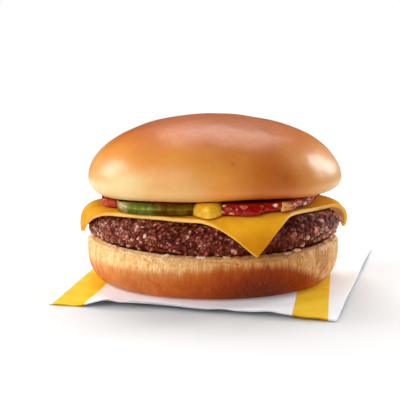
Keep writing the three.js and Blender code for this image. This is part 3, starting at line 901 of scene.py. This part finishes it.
def makePickle():
    shape = pickle
    thickness, (out, down) = shape.thickness, shape.overhang
    cx, cy, edgeTurn = pickleCentre()
    angle = fullTurn(shape.sides)
    outline = pickleReach(angle - edgeTurn)
    rim = [(1 - 0.045 * (1 - cos(t)), 0.5 - 0.5 * cos(t)) for t in np.linspace(pi / 2, 0, 8)]
    levels = [(0.3, 0), (0.55, 0), (0.8, 0), *rim]
    levels += [(reach, 1 - level) for reach, level in rim[-2::-1]] + [(0.8, 1), (0.55, 1), (0.3, 1)]
    rows, green, flesh = [], [], []
    for reach, level in levels:
        x, y = cx + outline * reach * np.cos(angle), cy + outline * reach * np.sin(angle)
        spots = pointsOf(x, y, np.minimum(fillingFloor(x, y) + level * thickness, fillingCeiling(x, y)))
        side = 1 if reach > 0.9 else 0
        spots = pushed(spots, angle, side * (0.28 * grain(spots, 3.2, 2, 13) - 0.1))
        # the front edge hangs over the rim of the slice below it, less so towards the right
        rightwards = (x - cx) * cos(edgeTurn) + (y - cy) * sin(edgeTurn)
        over = side * smooth((np.cos(angle - edgeTurn + pi / 2) - 0.1) / 0.7)
        over = over * (1 - 0.9 * smooth((rightwards + 6) / 18))
        spots += over[:, None] * (out * sin(edgeTurn), -out * cos(edgeTurn), -down * (1 - 0.6 * level))
        rows.append(spots)
        turn = np.degrees(azimuthOf(x, y))
        flesh.append(np.maximum(1 - smooth((reach - 0.9) / 0.05), smooth((-42 - turn) / 4)))
        green.append(smooth((-21 - turn) / 15))
    low = fillingFloor(cx, cy)
    skin = closedSkin(rows, (cx, cy, low), (cx, cy, low + thickness))
    fields = {"green": np.append(green, (0, 0)), "flesh": np.append(flesh, (1, 1))}
    finishPiece("pickle", skin, "pickle", pickleLook(), fields)


# mustard: one squeezed-out drop

mustard = Sizes(
    size=(11.4, 19, 7.9),
    centre=(-1.9, -40.2),
    rise=1.3,
    plumpness=(0.62, 0.85),  # across and up, 1 for an egg
    sides=160,
    steps=72,
)


def sauceLook(name, rough, reach, stops, thinTone=None):
    look = newLook(name, 0.2, (0.4, 0.06), (0.15, 2, reach), Roughness=rough)
    colour = look.ramp(look.mottle(3.2, 4, 0.6), *stops)
    # more orange where the sauce is thin, and painted light where it is lit
    if thinTone:
        colour = look.blend(look.field("thin"), colour, tone(*thinTone))
    look.shade(Base_Color=colour)
    look.bump(look.mottle(1.1), 0.12, 0.4)
    return look


def makeMustard():
    shape = mustard
    (wide, deep, high), (cx, cy), (across, upwards) = shape.size, shape.centre, shape.plumpness
    angle, rows = fullTurn(shape.sides), []
    for turn in np.linspace(0, pi, shape.steps + 1)[1:-1]:
        out, up = sin(turn) ** across, copysign(abs(cos(turn)) ** upwards, -cos(turn))
        x, y = outOfPickle(cx + wide / 2 * out * np.cos(angle), cy + deep / 2 * out * np.sin(angle), 0.15)
        z = np.clip(filling.base + shape.rise + high / 2 * up, fillingFloor(x, y), fillingCeiling(x, y))
        spots = pointsOf(x, y, z)
        rows.append(pushed(spots, angle, 0.22 * grain(spots, 4, 2, 14)))
    skin = closedSkin(rows, (cx, cy, fillingFloor(cx, cy)), (cx, cy, fillingCeiling(cx, cy)))
    look = sauceLook(
        "mustardSauce", 0.3, (1.0, 0.7, 0.2), ((0.3, 212, 152, 14), (0.6, 240, 188, 44), (0.8, 250, 214, 96)))
    finishPiece("mustard", skin, "mustard", look)


# ketchup: a lumpy layer squeezed out in places, with diced onion in it

ketchup = Sizes(
    radius=43.4,
    bulges=((14, 12, 7), (34, 7.5, 5.6), (-60, 9, 4.6), (-31, 18, -8), (78, 18, -4)),
    unevenness=0.9,
    edge=((-1.6, 0), (-0.5, 0.12), (0, 0.35), (-0.1, 0.65), (-1.2, 0.93), (-3, 1)),
    sides=720,
    lump=0.75,
    clearance=0.2,  # from pickle and mustard
    dice=(2.4, 1.6, 1.25),
    diceAzimuths=(-62, 8, 12, 27, 33, 50, 95, 140, 185, 230, 268),
    diceTints=(1.0, 0.7, 0.9, 0.25, 0.62, 0.45, 0.75),
    diceInset=0.75,
    diceClear=0.25,
    scraps=((4, 60, 27), (70, 220, 27)),  # first azimuth, degrees, how many
    scrapSize=(1.5, 1.1, 0.9),
    scrapTints=(0.3, 0.9, 0.5, 0.95, 0.65, 0.4, 1.0),
    golden=(31.5, (4.4, 1.5, 2.9)),  # one large piece: its azimuth and size
    thin=((-61, 10, 1.0), (34, 6, 0.8)),  # where the layer is painted more orange, by azimuth: thin sauce over the cheese, and painted light where it is lit
    smear=0.955,  # how far the smear on the pickle reaches, as a share of the pickle
    smearSides=240,
    smearLevels=(
        (0.4, 0), (0.8, 0), (0.95, 0.05), (1, 0.35), (1, 0.65), (0.95, 0.95), (0.8, 1), (0.4, 1)),
)


def makeKetchup():
    shape = ketchup
    lumps = unevenRing(41, (3, 7, 11, 16))
    clearance, step, nearest = shape.clearance, 0.2, 10

    def edgeAt(azimuth):
        return shape.radius + humps(azimuth, *shape.bulges) + shape.unevenness * lumps(azimuth)

    def behindOthers(x, y):
        # points that would lie in the pickle or the mustard stop short of them, on the way out
        reach, azimuth = np.hypot(x, y), azimuthOf(x, y)
        steps = np.arange(nearest, 60, step)[:, None]
        wayX, wayY = onCircle(steps, azimuth)
        (wide, deep, _), (cx, cy) = mustard.size, mustard.centre
        u, v = (wayX - cx) / (wide / 2 + clearance), (wayY - cy) / (deep / 2 + clearance)
        taken = (u ** 2 + v ** 2 < 1) | (depthInPickle(wayX, wayY, clearance) > 0)
        here = np.clip(((reach - nearest) / step).astype(int), 0, len(steps) - 1)
        reach = np.where(taken[here, np.arange(len(reach))], steps[np.argmax(taken, 0), 0], reach)
        return onCircle(reach, azimuth)

    levels = [(-30, 0), (-20, 0), (-10, 0), (-5, 0), (-3, 0), *roundedAlong(shape.edge, 0.16)]
    levels += [(-4.5, 1), (-6, 1), (-10, 1), (-20, 1), (-30, 1)]
    azimuth = fullTurn(shape.sides)
    top = filling.base + filling.height
    rows, thin = [], []
    for out, level in levels:
        x, y = behindOthers(*onCircle(edgeAt(azimuth) + out, azimuth))
        floor, ceiling = fillingFloor(x, y), np.minimum(top, fillingCeiling(x, y))
        spots = pointsOf(x, y, floor + (ceiling - floor) * min(1, max(0, level)))
        swell = grain(spots, 3.4, 3, 15) + 0.35 * grain(spots, 1.3, 2, 16)
        spots = pushed(spots, azimuth - pi / 2, max(0.0, 1 + out / 4) * shape.lump * swell)
        rows.append(pointsOf(*behindOthers(*spots.T[:2]), spots[:, 2]))
        thin.append(humps(azimuth, *shape.thin) + 0.25 * smooth(1 - level / 0.3))
    skin = closedSkin(rows, (0, 0, filling.base), (0, 0, top))
    look = sauceLook(
        "ketchupSauce", 0.25, (1.0, 0.2, 0.1), ((0.3, 110, 2, 2), (0.55, 160, 8, 4), (0.8, 190, 20, 6)),
        (176, 50, 8))
    finishPiece("ketchup", skin, "ketchup", look,
                {"thin": np.append(np.clip(thin, 0, 1), (0, 0))})

    # a thin smear of it between the pickle and the bun
    cx, cy, edgeTurn = pickleCentre()
    angle = fullTurn(shape.smearSides)
    outline = pickleReach(angle - edgeTurn) * shape.smear
    rows = []
    for share, level in shape.smearLevels:
        x, y = cx + outline * share * np.cos(angle), cy + outline * share * np.sin(angle)
        ceiling = fillingCeiling(x, y)
        low = np.minimum(fillingFloor(x, y) + pickle.thickness, ceiling) - 0.1
        spots = pointsOf(x, y, low + level * (np.maximum(ceiling - low, 0.1) + 0.1))
        rows.append(pushed(spots, angle, 0.35 * grain(spots, 2.6, 2, 22)))
    low = fillingFloor(cx, cy) + pickle.thickness - 0.1
    skin = closedSkin(rows, (cx, cy, low), (cx, cy, fillingCeiling(cx, cy)))
    finishPiece("ketchup_smear", skin, "ketchup", look, {"thin": np.zeros(len(skin[0]))})

    def spotInKetchup(azimuth, high, draw):
        x, y = onCircle(edgeAt(azimuth) - shape.diceInset, azimuth)
        low = fillingFloor(x, y) + shape.diceClear + high / 2
        most = min(top, fillingCeiling(x, y)) - shape.diceClear - high / 2
        return x, y, low + (max(low, most) - low) * draw()

    dice = makeDice(shape.diceAzimuths, 9, shape.dice, spotInKetchup, 0.5, shape.diceTints)
    # small scraps of it, closest together where the layer is squeezed out
    draw = Draw(10)
    places = [start + length * draw() for start, length, count in shape.scraps for _ in range(count)]
    golden, size = shape.golden
    places = [turn for turn in places if abs(turn - golden) > 4]
    dice = makeDice(places, 12, shape.scrapSize, spotInKetchup, 1.6, shape.scrapTints, 5, onto=dice)
    *skin, shades = makeDice([golden], 14, size, spotInKetchup, 0.3, [0.7], 9, 0.5, 7.0, dice)
    x, y = np.array(skin[0]).T[:2]
    under = smooth((edgeAt(azimuthOf(x, y)) + 0.15 - np.hypot(x, y)) / 0.5)  # sauce clings to their borders
    shades = np.array(shades) * (1 - under) + np.maximum(shades, 0.92) * under
    finishPiece("ketchup_onion", skin, "ketchup", onionLook("stainedOnion"), {"shade": shades})


# top bun: a smooth, glossy dome

def topBunLook():
    look = newLook("topCrust", 0.35, (0.22, 0.25), (0.08, 2, (1.0, 0.45, 0.2)))
    freckle = look.mottle(2.2, 5, 0.65)
    wobble = look.plus(look.swing(look.mottle(18, 4, 0.5), 0.3), look.swing(freckle, 0.12))
    crust = look.ramp(
        look.plus(look.field("browned"), wobble), (0.0, 232, 208, 156), (0.22, 224, 180, 112),
        (0.45, 222, 143, 56), (0.7, 194, 101, 22), (1.0, 138, 58, 12))
    look.shade(Base_Color=crust, Roughness=look.spread(freckle, 0.3, 0.7, 0.38, 0.48))
    look.bump(look.mottle(2.6, 4, 0.6), 0.12, 0.25)
    look.bump(look.mottle(0.6, 3, 0.6), 0.04, 0.3)
    return look


def makeTopBun():
    shape = topBun
    base, top, cut, sides = shape.base, shape.top, shape.cutRadius, shape.sides
    belly, domeSteps = (shape.radius, shape.bellyHeight), shape.domeSteps
    profile = [(cut * share, base) for share in (0.3, 0.6, 0.85, 0.95, 1)]
    profile += ovalArc(belly, (cut, base), (2, 2), np.linspace(90, 0, shape.bellySteps + 1)[1:-1])
    profile += ovalArc(belly, (0, top), shape.domePowers, np.linspace(0, 90, domeSteps + 1)[:-1])
    radius, turn, height = turnedGrid(profile, sides)
    uneven = shape.uneven * unevenRing(53, (1, 2, 3, 5))(turn - pi / 2)
    radius = radius + uneven * smooth((height - base) / 6) * smooth(radius / 20)
    x, y = onCircle(radius, turn)
    height = height - np.maximum(0, belly[1] - height) / (belly[1] - base) * sagAt(x, y)
    spots = pointsOf(x, y, height)
    # the way out of the dome, as that of an egg of about its size
    outward = (spots - (0, 0, 38)) / np.array((49.4, 49.4, 26.5)) ** 2
    outward /= np.linalg.norm(outward, axis=1)[:, None]
    low = smooth((46 - height) / 7)
    relief = 0.28 * grain(spots, 16, 2, 17) + 0.03 * grain(spots, 2.2, 2, 18)
    relief += low * 0.09 * grain(spots, 1.8, 3, 19, (1, 1, 0.35))
    relief = np.where(height < base + 1.2, 0, relief)
    spots = (spots + outward * relief[:, None]).reshape(-1, sides, 3)
    skin = closedSkin(spots, (0, 0, base), (0, 0, top - 0.02))
    high = smooth((height - 41) / 22)
    # painted light and shade by azimuth are mixed into the browning, with a painted broad highlight on the
    # front left
    browned = 0.42 + 0.36 * high ** 2 - 0.05 * low + (1 - high) * humps(turn, *shape.darker)
    browned = browned + low * humps(turn, *shape.paler)
    floury, middle, half = shape.floury
    browned = browned + humps(turn, floury) * np.exp(-(((height - middle) / half) ** 2))
    for azimuth, middle, wide, deep in shape.marks:
        apart = 0.86 * ((np.degrees(turn) - azimuth + 180) % 360 - 180)  # millimetres for each degree
        browned = browned + deep * np.exp(-(apart ** 2 + (height - middle) ** 2) / wide ** 2)
    finishPiece("top_bun", skin, "top_bun", topBunLook(),
                {"browned": np.append(browned, (0.2, 0.78))})


# floor and surroundings

studio = Sizes(
    reach=300,  # the floor's radius
    sides=96,
    fade=(110, 280),  # where it begins and ends to fade into the white around it
    fadeTo=0.5,
    sky=0.33,  # brightness overhead, the horizon is white
    horizon=(0.12, 0.3),  # shares of the height: white up to the first, the sky from the second
    sunPower=1.5,
    sunAngle=34,  # degrees, a soft light from above and behind
    sunLean=(-47, -13, 0),
)


def makeStage():
    turns, reach = fullTurn(studio.sides), studio.reach * mm
    mesh = bpy.data.meshes.new("floor")
    mesh.from_pydata([(reach * cos(turn), reach * sin(turn), 0) for turn in turns], [], [range(len(turns))])
    look = newLook("paleFloor", 0.0, Roughness=0.8, Emission_Color=(1.0, 1.0, 1.0, 1.0))
    away = look.node("VectorMath", {0: look.coords["Object"]}, operation="LENGTH").outputs["Value"]
    near, far = (value * mm for value in studio.fade)
    look.shade(Base_Color=look.ramp(look.mottle(60), (0.3, 226, 226, 227), (0.7, 229, 229, 230)),
               Emission_Strength=look.spread(away, near, far, 0.0, studio.fadeTo))
    mesh.materials.append(look.owner)
    floor = newObject("floor", mesh)

    data = bpy.data.lights.new("skylight", "SUN")
    data.energy = studio.sunPower
    data.angle = radians(studio.sunAngle)
    skylight = newObject("skylight", data)
    skylight.rotation_euler = [radians(lean) for lean in studio.sunLean]
    skylight.visible_glossy = False

    look = Look(bpy.data.worlds.new("studio"))
    background = look.tree.nodes["Background"].inputs
    background["Color"].default_value = (1.0, 1.0, 1.0, 1.0)
    brightness = look.spread(look.axis("Z", "Generated"), *studio.horizon, 1.0, studio.sky)
    look.put(brightness, background["Strength"])
    look.owner.cycles_visibility.glossy = False
    bpy.context.scene.world = look.owner
    bpy.context.scene.view_settings.view_transform = "Standard"


makeCamera()
makeLamps()
makeStage()
print("camera, lamps and floor are in place")
makeWrapper()
makeBottomBun()
makePatty()
makeCheese()
makePickle()
makeMustard()
makeKetchup()
makeTopBun()
